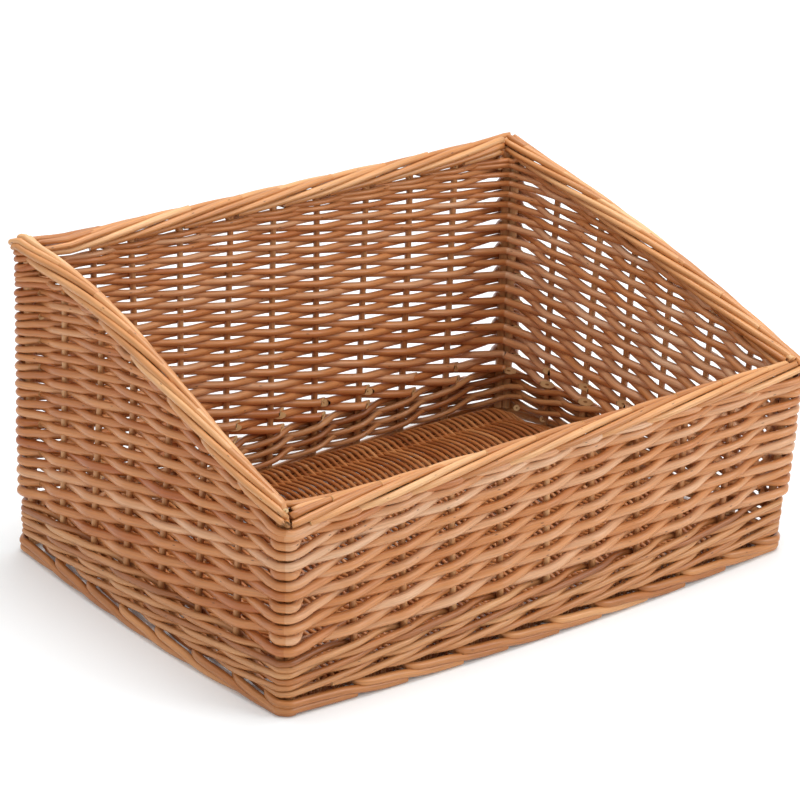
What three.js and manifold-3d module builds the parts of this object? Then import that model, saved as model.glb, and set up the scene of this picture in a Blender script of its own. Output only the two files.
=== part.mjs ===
// A slope-sided wicker display basket: low front, tall back, open top.
// Millimetres, +Z up, +X to the right along the front, +Y towards the back.
// The origin is on the ground, under the middle of the basket.

import * as THREE from 'three';
import { mergeVertices } from 'three/addons/utils/BufferGeometryUtils.js';
import Module from 'manifold-3d';

const wasm = await Module();
wasm.setup();

// Overall size, measured over the rim
const LENGTH = 485;
const DEPTH = 340;
const FRONT_HEIGHT = 155;
const BACK_HEIGHT = 250;

// Rim: the plait of bent-down stake tops that closes the walls
const RIM_WIDTH = 18;
const RIM_HEIGHT = 14.5;
const RIM_EDGE = 4;

// Walls: woven panels between the wale and the rim, thick where rods pass a stake
const WEAVE_THICKNESS = 16;
const WEAVE_BETWEEN_STAKES = 6;
const CORNER_FLAT = 9;

// Rods lie outside a stake at every second level and inside it at the others. They thin
// towards their tips, so each level is a little lower than the one below it.
const FIRST_LEVEL_GAP = 3.2;
const LEVEL_RISE = 5.65;
const LEVEL_RISE_LOSS = 0.045;

// Wale: the band of twisted rods round the foot of the walls
const WALE_THICKNESS = 17;
const WALE_HEIGHT = 29;

// Foot: the border of stout rods that the basket stands on
const FOOT_WIDTH = 17;
const FOOT_HEIGHT = 14;
const FOOT_EDGE = 3;

// Uprights
const STAKE_DIAMETER = 5.5;
const LONG_WALL_STAKE_COUNT = 9;
const LONG_WALL_FIRST_STAKE = 59;
const SIDE_WALL_STAKE_COUNT = 6;
const SIDE_WALL_FIRST_STAKE = 50;
const STAKE_SKIN = 1.2;
const CORNER_POST_DIAMETER = 6.5;
const CORNER_POST_SKIN = 0.6;

// Base: stout sticks along X with weavers across them, thick where these pass a stick
const FLOOR_HEIGHT = 22;
const BASE_THICKNESS = 12;
const BASE_BETWEEN_STICKS = 4.6;
const BASE_STICK_DIAMETER = 7;
const BASE_STICK_COUNT = 7;
const BASE_STICK_MARGIN = 8;

// Gap left between pieces that touch, and the sides of a round section
const CLEARANCE = 0.3;
const ROUND_SIDES = 8;

// Points closer than this are one point
const WELD = 1e-4;

// Buff willow, darker where it lies in the shade of the weave
const WILLOW = {
  weave: new THREE.MeshStandardMaterial({ color: 0xb9794a, roughness: 0.55, metalness: 0 }),
  wale: new THREE.MeshStandardMaterial({ color: 0xbd8250, roughness: 0.55, metalness: 0 }),
  stake: new THREE.MeshStandardMaterial({ color: 0x8c5533, roughness: 0.6, metalness: 0 }),
  border: new THREE.MeshStandardMaterial({ color: 0xd09a60, roughness: 0.45, metalness: 0 }),
  base: new THREE.MeshStandardMaterial({ color: 0xa0653a, roughness: 0.6, metalness: 0 }),
};

// The walls' middle lines cross at these half sizes
const HALF_X = (LENGTH - RIM_WIDTH) / 2;
const HALF_Y = (DEPTH - RIM_WIDTH) / 2;

// A corner post stands back from the mitre, which keeps a skin of weave round its hole
const CORNER_POST_SETBACK = (CORNER_POST_DIAMETER / 2 + CLEARANCE + CORNER_POST_SKIN) * Math.SQRT2;

// Levels
const WALE_BOTTOM = FOOT_HEIGHT + CLEARANCE;
const WALE_TOP = FOOT_HEIGHT + WALE_HEIGHT;
const WEAVE_BOTTOM = WALE_TOP + CLEARANCE;

const rimSlope = (BACK_HEIGHT - FRONT_HEIGHT) / DEPTH;

// Each wall has its own frame: u runs along the wall, left to right seen from outside,
// and n points out of the basket. rise is how fast the rim climbs along u.
const WALLS = [
  { name: 'front', turn: 0, half: HALF_X, out: HALF_Y, mid: FRONT_HEIGHT, rise: 0,
    stakes: LONG_WALL_STAKE_COUNT, first: LONG_WALL_FIRST_STAKE },
  { name: 'right', turn: Math.PI / 2, half: HALF_Y, out: HALF_X, rise: rimSlope,
    mid: (FRONT_HEIGHT + BACK_HEIGHT) / 2, stakes: SIDE_WALL_STAKE_COUNT, first: SIDE_WALL_FIRST_STAKE },
  { name: 'back', turn: Math.PI, half: HALF_X, out: HALF_Y, mid: BACK_HEIGHT, rise: 0,
    stakes: LONG_WALL_STAKE_COUNT, first: LONG_WALL_FIRST_STAKE },
  { name: 'left', turn: -Math.PI / 2, half: HALF_Y, out: HALF_X, rise: -rimSlope,
    mid: (FRONT_HEIGHT + BACK_HEIGHT) / 2, stakes: SIDE_WALL_STAKE_COUNT, first: SIDE_WALL_FIRST_STAKE },
];

// Height of the rim's top at a place u along a wall
const rimTop = (wall, u) => wall.mid + wall.rise * u;

// Height of the underside of the rim, less the gap that what stands below it keeps
const underRim = (wall, u) => rimTop(wall, u) - RIM_HEIGHT - CLEARANCE;

// Turns a closed geometry into a solid that can be joined and cut
function solidOf(geometry) {
  const bare = geometry.clone();
  bare.deleteAttribute('normal');
  bare.deleteAttribute('uv');
  const merged = mergeVertices(bare, WELD);
  return new wasm.Manifold(new wasm.Mesh({
    numProp: 3,
    vertProperties: new Float32Array(merged.attributes.position.array),
    triVerts: new Uint32Array(merged.index.array),
  }));
}

// Turns a solid back into a geometry
function geometryOf(solid) {
  const mesh = solid.getMesh();
  const geometry = new THREE.BufferGeometry();
  geometry.setAttribute('position', new THREE.BufferAttribute(new Float32Array(mesh.vertProperties), 3));
  geometry.setIndex(new THREE.BufferAttribute(new Uint32Array(mesh.triVerts), 1));
  geometry.computeVertexNormals();
  return geometry;
}

// Cuts the listed geometries out of a body
function cut(body, tools) {
  let solid = solidOf(body);
  for (const tool of tools) {
    solid = solid.subtract(solidOf(tool));
  }
  return geometryOf(solid);
}

// A straight prism of a plan outline, from one level to another
function prism(outline, bottom, top, hole) {
  const shape = new THREE.Shape(outline.map(([x, y]) => new THREE.Vector2(x, y)));
  if (hole) {
    shape.holes.push(new THREE.Path(hole.map(([x, y]) => new THREE.Vector2(x, y))));
  }
  const geometry = new THREE.ExtrudeGeometry(shape, { depth: top - bottom, bevelEnabled: false });
  return geometry.translate(0, 0, bottom);
}

// An upright round stick standing at (u, n) in a wall's frame
function upright(u, n, diameter, bottom, top) {
  const stick = new THREE.CylinderGeometry(diameter / 2, diameter / 2, top - bottom, ROUND_SIDES);
  return stick.rotateX(Math.PI / 2).translate(u, n, (bottom + top) / 2);
}

// Moves a geometry's top up or down along the wall, so that it follows the rim
function followRim(geometry, wall, fromLevel) {
  const position = geometry.attributes.position;
  for (let i = 0; i < position.count; i += 1) {
    if (position.getZ(i) > fromLevel) {
      position.setZ(i, position.getZ(i) + wall.rise * position.getX(i));
    }
  }
  return geometry;
}

// A bar of the given section along a wall, with mitred ends.
// The section is a list of [n, z] points, n counted outwards from the wall's middle line.
function mitredBar(wall, section) {
  const mitre = (n) => wall.half + n - CLEARANCE;
  const ring = section.length;
  const points = [];
  for (const end of [-1, 1]) {
    for (const [n, z] of section) {
      points.push(end * mitre(n), -wall.out - n, z);
    }
  }
  const faces = [];
  for (let i = 0; i < ring; i += 1) {
    const next = (i + 1) % ring;
    faces.push(i, ring + next, next, i, ring + i, ring + next);
  }
  for (let i = 1; i < ring - 1; i += 1) {
    faces.push(0, i, i + 1, ring, ring + i + 1, ring + i);
  }
  const geometry = new THREE.BufferGeometry();
  geometry.setAttribute('position', new THREE.Float32BufferAttribute(points, 3));
  geometry.setIndex(faces);
  return geometry;
}

// The places of a wall's stakes along it
function stakePlaces(wall) {
  const reach = wall.half - wall.first;
  const pitch = (2 * reach) / (wall.stakes - 1);
  return Array.from({ length: wall.stakes }, (_, i) => -reach + i * pitch);
}

// The places of the two corner posts that end a wall
const postPlaces = (wall) => [-1, 1].map((end) => end * (wall.half - CORNER_POST_SETBACK));

// Holes for a wall's stakes and corner posts, between two levels
function uprightHoles(wall, bottom, top) {
  const hole = (diameter) => (u) =>
    upright(u, -wall.out, diameter + 2 * CLEARANCE, bottom, top);
  return [
    ...stakePlaces(wall).map(hole(STAKE_DIAMETER)),
    ...postPlaces(wall).map(hole(CORNER_POST_DIAMETER)),
  ];
}

// Height of a level of rods; whole levels lie at the stakes, half ones midway between them
const levelHeight = (level) =>
  WALE_TOP + FIRST_LEVEL_GAP + LEVEL_RISE * level - (LEVEL_RISE_LOSS * level * level) / 2;

// A closed sheet between two grids of points. The far grid lies on the side that columns
// crossed with rows point to. Strips of the grids are split one way and the other in turn.
function sheetBetween(near, far) {
  const columns = near.length;
  const rows = near[0].length;
  const nearAt = (c, r) => c * rows + r;
  const farAt = (c, r) => (columns + c) * rows + r;
  const faces = [];
  const quad = (a, b, c, d) => faces.push(a, b, c, a, c, d);
  for (let c = 0; c < columns - 1; c += 1) {
    for (let r = 0; r < rows - 1; r += 1) {
      const corners = [[c, r], [c + 1, r], [c + 1, r + 1], [c, r + 1]];
      const turned = c % 2 ? corners : [...corners.slice(1), corners[0]];
      quad(...turned.map(([i, j]) => farAt(i, j)));
      quad(...turned.map(([i, j]) => nearAt(i, j)).reverse());
    }
    quad(nearAt(c, 0), nearAt(c + 1, 0), farAt(c + 1, 0), farAt(c, 0));
    quad(nearAt(c + 1, rows - 1), nearAt(c, rows - 1), farAt(c, rows - 1), farAt(c + 1, rows - 1));
  }
  for (let r = 0; r < rows - 1; r += 1) {
    quad(nearAt(0, r + 1), nearAt(0, r), farAt(0, r), farAt(0, r + 1));
    quad(nearAt(columns - 1, r), nearAt(columns - 1, r + 1), farAt(columns - 1, r + 1), farAt(columns - 1, r));
  }
  const geometry = new THREE.BufferGeometry();
  geometry.setAttribute('position', new THREE.Float32BufferAttribute([...near, ...far].flat(2), 3));
  geometry.setIndex(faces);
  return geometry;
}

// What the weave leaves open on one face of a wall: side is 1 outside and -1 inside.
// The rods stand proud at every second level of a stake and sink to the middle between stakes.
function weaveHollow(wall, side, highest) {
  const crest = WEAVE_THICKNESS / 2 - CLEARANCE;
  const sunk = STAKE_DIAMETER / 2 + CLEARANCE + STAKE_SKIN;
  const between = WEAVE_BETWEEN_STAKES / 2;
  const clear = WEAVE_THICKNESS / 2 + CLEARANCE;
  const corner = wall.half - 2 * CORNER_POST_SETBACK;
  const stops = [-corner, ...stakePlaces(wall), corner];
  const levels = [];
  for (let level = -2; levelHeight(level - 1) < highest; level += 1) {
    levels.push(level);
  }
  const proud = (level) => Math.abs(level % 2) === (side > 0 ? 1 : 0);
  const surface = [];
  stops.forEach((u, i) => {
    const atCorner = i === 0 || i === stops.length - 1;
    surface.push(levels.map((level) => {
      const reach = proud(level) ? crest : sunk;
      return [u, atCorner ? clear : reach, levelHeight(level)];
    }));
    if (i < stops.length - 1) {
      surface.push(levels.map((level) => [(u + stops[i + 1]) / 2, between, levelHeight(level + 0.5)]));
    }
  });
  const placed = (column) => column.map(([u, reach, z]) => [u, -wall.out - side * reach, z]);
  const face = surface.map(placed);
  const open = surface.map((column) => placed(column.map(([u, , z]) => [u, clear + CLEARANCE, z])));
  return side > 0 ? sheetBetween(face, open) : sheetBetween(open, face);
}

const basket = new THREE.Group();

function addPiece(parent, name, geometry, material) {
  const mesh = new THREE.Mesh(geometry, material);
  mesh.name = name;
  parent.add(mesh);
}

// Woven panel: mitred at its ends, with the corner's outer edge flattened by the wraps
function wovenPanel(wall) {
  const inner = -WEAVE_THICKNESS / 2;
  const outer = WEAVE_THICKNESS / 2;
  const mitre = (n) => wall.half + n - CLEARANCE;
  const flatStart = mitre(outer) - CORNER_FLAT;
  const flatEnd = outer - CORNER_FLAT / 2;
  const right = [
    [mitre(inner), -wall.out - inner],
    [mitre(flatEnd), -wall.out - flatEnd],
    [flatStart, -wall.out - outer],
  ];
  const left = right.map(([u, v]) => [-u, v]).reverse();
  const top = underRim(wall, 0);
  const panel = prism([...left, ...right], WEAVE_BOTTOM, top);
  const highest = top + Math.abs(wall.rise) * wall.half;
  const holes = uprightHoles(wall, WEAVE_BOTTOM - RIM_HEIGHT, highest + RIM_HEIGHT);
  const hollows = [1, -1].map((side) => weaveHollow(wall, side, highest));
  return cut(followRim(panel, wall, (WEAVE_BOTTOM + top) / 2), [...hollows, ...holes]);
}

// Rim bar: a rounded section that climbs along the side walls
function rimBar(wall) {
  const w = RIM_WIDTH / 2;
  const top = wall.mid;
  const bottom = wall.mid - RIM_HEIGHT;
  const bar = mitredBar(wall, [
    [-w, bottom], [w, bottom], [w, top - RIM_EDGE], [w - RIM_EDGE, top],
    [RIM_EDGE - w, top], [-w, top - RIM_EDGE],
  ]);
  return followRim(bar, wall, 0);
}

// Foot bar: flat underneath, rounded where its rods turn up
function footBar(wall) {
  const w = FOOT_WIDTH / 2;
  return mitredBar(wall, [
    [FOOT_EDGE - w, 0], [w - FOOT_EDGE, 0], [w, FOOT_EDGE], [w, FOOT_HEIGHT],
    [-w, FOOT_HEIGHT], [-w, FOOT_EDGE],
  ]);
}

// Walls, each in its own turned group
for (const wall of WALLS) {
  const group = new THREE.Group();
  group.rotation.z = wall.turn;
  basket.add(group);
  addPiece(group, `${wall.name}_foot_border`, footBar(wall), WILLOW.border);
  addPiece(group, `${wall.name}_weave`, wovenPanel(wall), WILLOW.weave);
  addPiece(group, `${wall.name}_rim_border`, rimBar(wall), WILLOW.border);

  // A stake's top is cut square, clear of the rim on its low side
  const uprightTop = (u, diameter) => underRim(wall, u) - (Math.abs(wall.rise) * diameter) / 2;
  stakePlaces(wall).forEach((u, i) => {
    const top = uprightTop(u, STAKE_DIAMETER);
    const stake = upright(u, -wall.out, STAKE_DIAMETER, WALE_BOTTOM, top);
    addPiece(group, `${wall.name}_stake_${i + 1}`, stake, WILLOW.stake);
  });
  postPlaces(wall).forEach((u, i) => {
    const top = uprightTop(u, CORNER_POST_DIAMETER);
    const post = upright(u, -wall.out, CORNER_POST_DIAMETER, WALE_BOTTOM, top);
    addPiece(group, `${wall.name}_corner_post_${i + 1}`, post, WILLOW.stake);
  });
}

// Wale: one band round all four walls, threaded on the stakes and corner posts
function waleBand() {
  const w = WALE_THICKNESS / 2;
  const x = HALF_X + w;
  const y = HALF_Y + w;
  const outline = [
    [-x + CORNER_FLAT, -y], [x - CORNER_FLAT, -y], [x, -y + CORNER_FLAT], [x, y - CORNER_FLAT],
    [x - CORNER_FLAT, y], [-x + CORNER_FLAT, y], [-x, y - CORNER_FLAT], [-x, -y + CORNER_FLAT],
  ];
  const inX = HALF_X - w;
  const inY = HALF_Y - w;
  const well = [[-inX, -inY], [-inX, inY], [inX, inY], [inX, -inY]];
  const band = prism(outline, WALE_BOTTOM, WALE_TOP, well);
  const holes = WALLS.flatMap((wall) =>
    uprightHoles(wall, WALE_BOTTOM - FOOT_HEIGHT, WALE_TOP + FOOT_HEIGHT)
      .map((hole) => hole.rotateZ(wall.turn)));
  return cut(band, holes);
}
addPiece(basket, 'upsett_wale', waleBand(), WILLOW.wale);

// Base: it lies inside the wale and the foot, its sticks threaded through its weavers
const edge = Math.max(WALE_THICKNESS, FOOT_WIDTH) / 2 + CLEARANCE;
const BASE_HALF_X = HALF_X - edge;
const BASE_HALF_Y = HALF_Y - edge;
const BASE_MIDDLE = FLOOR_HEIGHT - BASE_THICKNESS / 2;

// A base stick along X at a place y
function baseStick(y, diameter, length) {
  const stick = new THREE.CylinderGeometry(diameter / 2, diameter / 2, length, ROUND_SIDES);
  return stick.rotateZ(Math.PI / 2).translate(0, y, BASE_MIDDLE);
}

const stickReach = BASE_HALF_Y - BASE_STICK_MARGIN;
const stickPlaces = Array.from({ length: BASE_STICK_COUNT }, (_, i) =>
  -stickReach + (2 * stickReach * i) / (BASE_STICK_COUNT - 1));

// The weavers rise and sink across the sticks: a wavy section, drawn along X
function wovenFloor() {
  const thick = BASE_THICKNESS / 2;
  const thin = BASE_BETWEEN_STICKS / 2;
  const halfPitch = stickReach / (BASE_STICK_COUNT - 1);
  const top = [[-BASE_HALF_Y, thin]];
  stickPlaces.forEach((y, i) => {
    top.push([y, thick]);
    top.push(i < BASE_STICK_COUNT - 1 ? [y + halfPitch, thin] : [BASE_HALF_Y, thin]);
  });
  const bottom = top.map(([y, z]) => [y, -z]).reverse();
  const section = prism([...top, ...bottom], -BASE_HALF_X, BASE_HALF_X);
  const [alongX, alongY, up] = [[1, 0, 0], [0, 1, 0], [0, 0, 1]].map((axis) => new THREE.Vector3(...axis));
  section.applyMatrix4(new THREE.Matrix4().makeBasis(alongY, up, alongX));
  return section.translate(0, 0, BASE_MIDDLE);
}
const stickHoles = stickPlaces.map((y) =>
  baseStick(y, BASE_STICK_DIAMETER + 2 * CLEARANCE, 2 * (BASE_HALF_X + BASE_STICK_DIAMETER)));
addPiece(basket, 'base_weave', cut(wovenFloor(), stickHoles), WILLOW.base);
stickPlaces.forEach((y, i) => {
  addPiece(basket, `base_stick_${i + 1}`, baseStick(y, BASE_STICK_DIAMETER, 2 * BASE_HALF_X), WILLOW.stake);
});

export default basket;
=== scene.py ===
"""A slope-sided willow display basket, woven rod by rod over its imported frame.

Sizes are in millimetres and become metres where a mesh is made. Every rod is a tube that takes the
path a basket maker gives it: French randing on the walls, a three-rod wale below it, plaited borders
at the rim and the foot, and a base of stout sticks with finer weavers across them.
"""

import logging
import math
from dataclasses import dataclass, field, replace
from enum import Enum
from functools import cache

import bpy
import numpy as np
from mathutils import Matrix, Vector
from numpy.random import Generator, default_rng

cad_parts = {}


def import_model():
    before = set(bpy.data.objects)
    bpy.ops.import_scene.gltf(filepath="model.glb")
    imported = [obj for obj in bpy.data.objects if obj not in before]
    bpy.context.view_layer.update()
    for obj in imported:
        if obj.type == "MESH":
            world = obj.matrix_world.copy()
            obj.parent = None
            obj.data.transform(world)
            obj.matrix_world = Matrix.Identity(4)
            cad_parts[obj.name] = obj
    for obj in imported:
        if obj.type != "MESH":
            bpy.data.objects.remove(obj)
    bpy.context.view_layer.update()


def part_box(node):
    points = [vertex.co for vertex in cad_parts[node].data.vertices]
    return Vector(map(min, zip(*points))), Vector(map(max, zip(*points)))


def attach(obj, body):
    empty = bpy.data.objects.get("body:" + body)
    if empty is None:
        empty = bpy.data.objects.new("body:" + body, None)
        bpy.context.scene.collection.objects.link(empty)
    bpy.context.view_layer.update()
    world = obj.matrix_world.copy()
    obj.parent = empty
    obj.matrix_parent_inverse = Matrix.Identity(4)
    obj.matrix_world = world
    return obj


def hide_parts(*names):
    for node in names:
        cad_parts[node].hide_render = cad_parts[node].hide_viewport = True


MM = 0.001
UP = np.array([0.0, 0.0, 1.0])
ALONG_X = np.array([1.0, 0.0, 0.0])
WHITE = (1.0, 1.0, 1.0, 1.0)

Colour = tuple[float, float, float, float]
Rows = tuple[tuple[float, ...], ...]
Range = tuple[float, float]
Tree = bpy.types.NodeTree
Socket = bpy.types.NodeSocket

log = logging.getLogger("willow_basket")


class Side(Enum):
    """The four walls, in the order in which the rods travel round the basket."""

    FRONT = "front"
    RIGHT = "right"
    BACK = "back"
    LEFT = "left"


class End(Enum):
    """How a rod stops: open where another piece carries it on, cut by the knife, or bent out of sight."""

    OPEN = "open"
    CUT = "cut"
    ROUND = "round"


def linear_colour(hex_value: str) -> Colour:
    """Turns an sRGB hex value into linear light.

    Args:
        hex_value: Six hex digits, with or without a leading hash.

    Returns:
        Red, green, blue and an alpha of 1.
    """
    digits = hex_value.lstrip("#")
    parts = [int(digits[i : i + 2], 16) / 255 for i in (0, 2, 4)]
    red, green, blue = (c / 12.92 if c <= 0.04045 else ((c + 0.055) / 1.055) ** 2.4 for c in parts)
    return red, green, blue, 1.0


def box_mm(node: str) -> tuple[np.ndarray, np.ndarray]:
    """The low and the high corner of a CAD node's box, in millimetres."""
    low, high = (np.array(corner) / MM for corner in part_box(node))
    return low, high


def smooth_through(knots: np.ndarray, values: np.ndarray, at: np.ndarray) -> np.ndarray:
    """Runs a smooth curve through values, with no overshoot between them.

    Args:
        knots: Rising places where the values are known.
        values: The values there.
        at: Places where the curve is wanted.

    Returns:
        The curve's values at those places.
    """
    gaps = np.diff(knots)
    slopes = np.diff(values) / gaps
    before, after = slopes[:-1], slopes[1:]
    turning = before * after <= 0
    mean = 2 * before * after / np.where(turning, 1.0, before + after)
    tangents = np.concatenate([slopes[:1], np.where(turning, 0.0, mean), slopes[-1:]])
    i = np.clip(np.searchsorted(knots, at, side="right") - 1, 0, len(gaps) - 1)
    t = np.clip((at - knots[i]) / gaps[i], 0.0, 1.0)
    rise = t * t * (3 - 2 * t)
    start_pull = t * (1 - t) ** 2 * gaps[i] * tangents[i]
    end_pull = t * t * (t - 1) * gaps[i] * tangents[i + 1]
    return values[i] * (1 - rise) + values[i + 1] * rise + start_pull + end_pull


def taut_through(knots: np.ndarray, values: np.ndarray, at: np.ndarray, ease: float) -> np.ndarray:
    """Runs a line straight between values and rounds it off where it meets them.

    Args:
        knots: Rising places where the values are known.
        values: The values there.
        at: Places where the line is wanted.
        ease: Share of each gap over which the line bends, at either end.

    Returns:
        The line's values at those places.
    """
    i = np.clip(np.searchsorted(knots, at, side="right") - 1, 0, len(knots) - 2)
    t = np.clip((at - knots[i]) / (knots[i + 1] - knots[i]), 0.0, 1.0)
    near = np.minimum(t, 1 - t)
    bent = np.where(near < ease, near * near / (2 * ease), near - ease / 2) / (1 - ease)
    rise = np.where(t < 0.5, bent, 1 - bent)
    return values[i] * (1 - rise) + values[i + 1] * rise


def curve_through(points: np.ndarray, step: float) -> np.ndarray:
    """Runs a smooth line through points in space.

    Args:
        points: One point a row.
        step: Distance between the points of the line.

    Returns:
        The line's points, one a row.
    """
    runs = np.linalg.norm(np.diff(points, axis=0), axis=1)
    knots = np.concatenate([[0.0], np.cumsum(runs)])
    at = np.linspace(0.0, knots[-1], max(int(knots[-1] / step), 3) + 1)
    return np.stack([smooth_through(knots, points[:, axis], at) for axis in range(3)], axis=1)


def waver(s: np.ndarray, size: float, length: float, phase: float) -> np.ndarray:
    """The slow swing that the hand leaves in a rod's line."""
    return size * np.sin(s / length + phase)


@dataclass(frozen=True)
class HandLean:
    """How the finished basket stands: woven by hand, its foot bows out and its right end splays.

    The splay is greatest at the rim of the front right corner. The bows are greatest in the middle
    of a wall, the foot's at the ground and the right wall's at its rim. The front left corner is
    pulled in a little along the front. The left rim arches up and in, most behind its middle, and
    the back wall's stakes drift towards the left, most at the foot.
    """

    half_length: float = 242.5
    half_depth: float = 170.0
    front_height: float = 155.0
    back_height: float = 250.0
    bow_height: float = 200.0
    splay: float = 18.0
    right_bow: float = 10.0
    left_arch: float = 13.0
    left_hollow: float = 8.5
    arch_skew: tuple[float, float] = (0.8, 0.55)
    back_drift: float = -9.0
    drift_loss: float = 0.35
    side_foot_bow: float = 7.5
    front_foot_bow: float = 13.0
    back_foot_bow: float = 3.0
    tilt: float = -0.0124
    corner_pull: tuple[float, float] = (3.5, -2.5)
    wall_starts: float = 0.8
    wall_blend: float = 0.12

    def settle(self, points: np.ndarray) -> np.ndarray:
        """Moves points of an upright basket to where the leaning one has them.

        Args:
            points: One point a row.

        Returns:
            The moved points.
        """
        x, y = points[:, 0] / self.half_length, points[:, 1] / self.half_depth
        z = points[:, 2]
        right = np.clip((x + 1) / 2, 0.0, 1.1)
        low = np.clip(1 - z / self.front_height, 0.0, 1.0)
        along = right**4 * (1 - y) / 2 * self.splay * z / self.front_height
        along += right**2 * (1 - y * y) * self.right_bow * z / self.bow_height
        along += x * (1 - y * y) * self.side_foot_bow * low + self.tilt * z
        out = y * (1 - x * x) * np.where(y < 0, self.front_foot_bow, self.back_foot_bow) * low
        near = (np.maximum(1 - x, 0) * np.maximum(1 - y, 0) / 4) ** 4
        along += near * self.corner_pull[0]
        out += near * self.corner_pull[1]
        arch = self._in_wall(-x, y) * (self.arch_skew[0] + self.arch_skew[1] * y)
        arch *= np.clip(z / self.bow_height, 0.0, 1.2) ** 1.5
        along += arch * self.left_hollow
        along += self._in_wall(y, x) * self.back_drift * (1 - self.drift_loss * z / self.back_height)
        return points + np.stack([along, out, arch * self.left_arch], axis=1)

    def _in_wall(self, across: np.ndarray, along: np.ndarray) -> np.ndarray:
        """1 in the middle of one wall, which falls to 0 at its ends and inside the basket."""
        inside = np.clip((across - self.wall_starts) / self.wall_blend, 0.0, 1.0)
        return inside * np.maximum(1 - along * along, 0.0)


LEAN = HandLean()


@dataclass
class Rod:
    """One willow rod: the line it follows, its thickness along that line, and how it stops.

    across is a direction that the rod never runs along, from which its skin is laid out. slant is the
    direction that its knife cuts lean towards; its length is how steep they are.
    """

    line: np.ndarray
    radius: np.ndarray
    tone: float
    seed: float
    start: End = End.CUT
    finish: End = End.CUT
    across: np.ndarray = field(default_factory=lambda: UP)
    begun: float = 0.0
    heading: np.ndarray | None = None
    slant: np.ndarray = field(default_factory=lambda: np.zeros(3))

    def __post_init__(self) -> None:
        """Works out the rod's direction at each point, unless a longer rod gave it."""
        if self.heading is None:
            heading = np.gradient(self.line, axis=0)
            self.heading = heading / np.linalg.norm(heading, axis=1)[:, None]

    @classmethod
    def shaded(
        cls,
        rng: Generator,
        shade: tuple[float, float],
        line: np.ndarray,
        radius: np.ndarray,
        **more: object,
    ) -> "Rod":
        """A rod with a shade and a seed of its own.

        Args:
            rng: Source of both.
            shade: Mean and spread of the shade, from 0, deep, to 1, pale.
            line: The line that the rod follows.
            radius: Its radius along that line.
            **more: Its other fields.

        Returns:
            The rod.
        """
        tone = float(np.clip(rng.normal(*shade), 0.05, 0.95))
        return cls(line, radius, tone, rng.uniform(), **more)

    def lengths(self) -> np.ndarray:
        """Length along the rod at each of its points."""
        runs = np.linalg.norm(np.diff(self.line, axis=0), axis=1)
        return self.begun + np.concatenate([[0.0], np.cumsum(runs)])

    def part(self, first: int, last: int) -> "Rod":
        """The stretch between two of the rod's points.

        Args:
            first: Index of the stretch's first point.
            last: Index of its last point.

        Returns:
            A rod for that stretch, open where it was parted from the rest.
        """
        span = slice(first, last + 1)
        return replace(
            self,
            line=self.line[span],
            radius=self.radius[span],
            start=self.start if first == 0 else End.OPEN,
            finish=self.finish if last == len(self.line) - 1 else End.OPEN,
            begun=float(self.lengths()[first]),
            heading=self.heading[span],
        )

    def rounded(self) -> "Rod":
        """Puts a dome on each end that is bent out of sight.

        Returns:
            The rod with its domes, or the rod itself where it has no such end.
        """
        if End.ROUND not in (self.start, self.finish):
            return self
        line, radius = self.line, self.radius
        if self.start is End.ROUND:
            line, radius = (part[::-1] for part in self._domed(line[::-1], radius[::-1]))
        if self.finish is End.ROUND:
            line, radius = self._domed(line, radius)
        return replace(self, line=line, radius=radius, heading=None)

    @staticmethod
    def _domed(line: np.ndarray, radius: np.ndarray) -> tuple[np.ndarray, np.ndarray]:
        """Adds the rings of a dome to the far end of a line.

        Args:
            line: The line.
            radius: The rod's radius along it.

        Returns:
            The longer line and its radius.
        """
        angles = np.radians([28.0, 52.0, 72.0])
        away = line[-1] - line[-2]
        away = away / np.linalg.norm(away) * radius[-1]
        rings = line[-1] + np.outer(np.sin(angles), away)
        return np.vstack([line, rings]), np.concatenate([radius, radius[-1] * np.cos(angles)])


def put_in_scene(name: str, data: bpy.types.ID) -> bpy.types.Object:
    """Makes an object of a mesh, lamp or camera and links it to the scene.

    Args:
        name: The object's name.
        data: What it shows.

    Returns:
        The object.
    """
    made = bpy.data.objects.new(name, data)
    bpy.context.scene.collection.objects.link(made)
    return made


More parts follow.
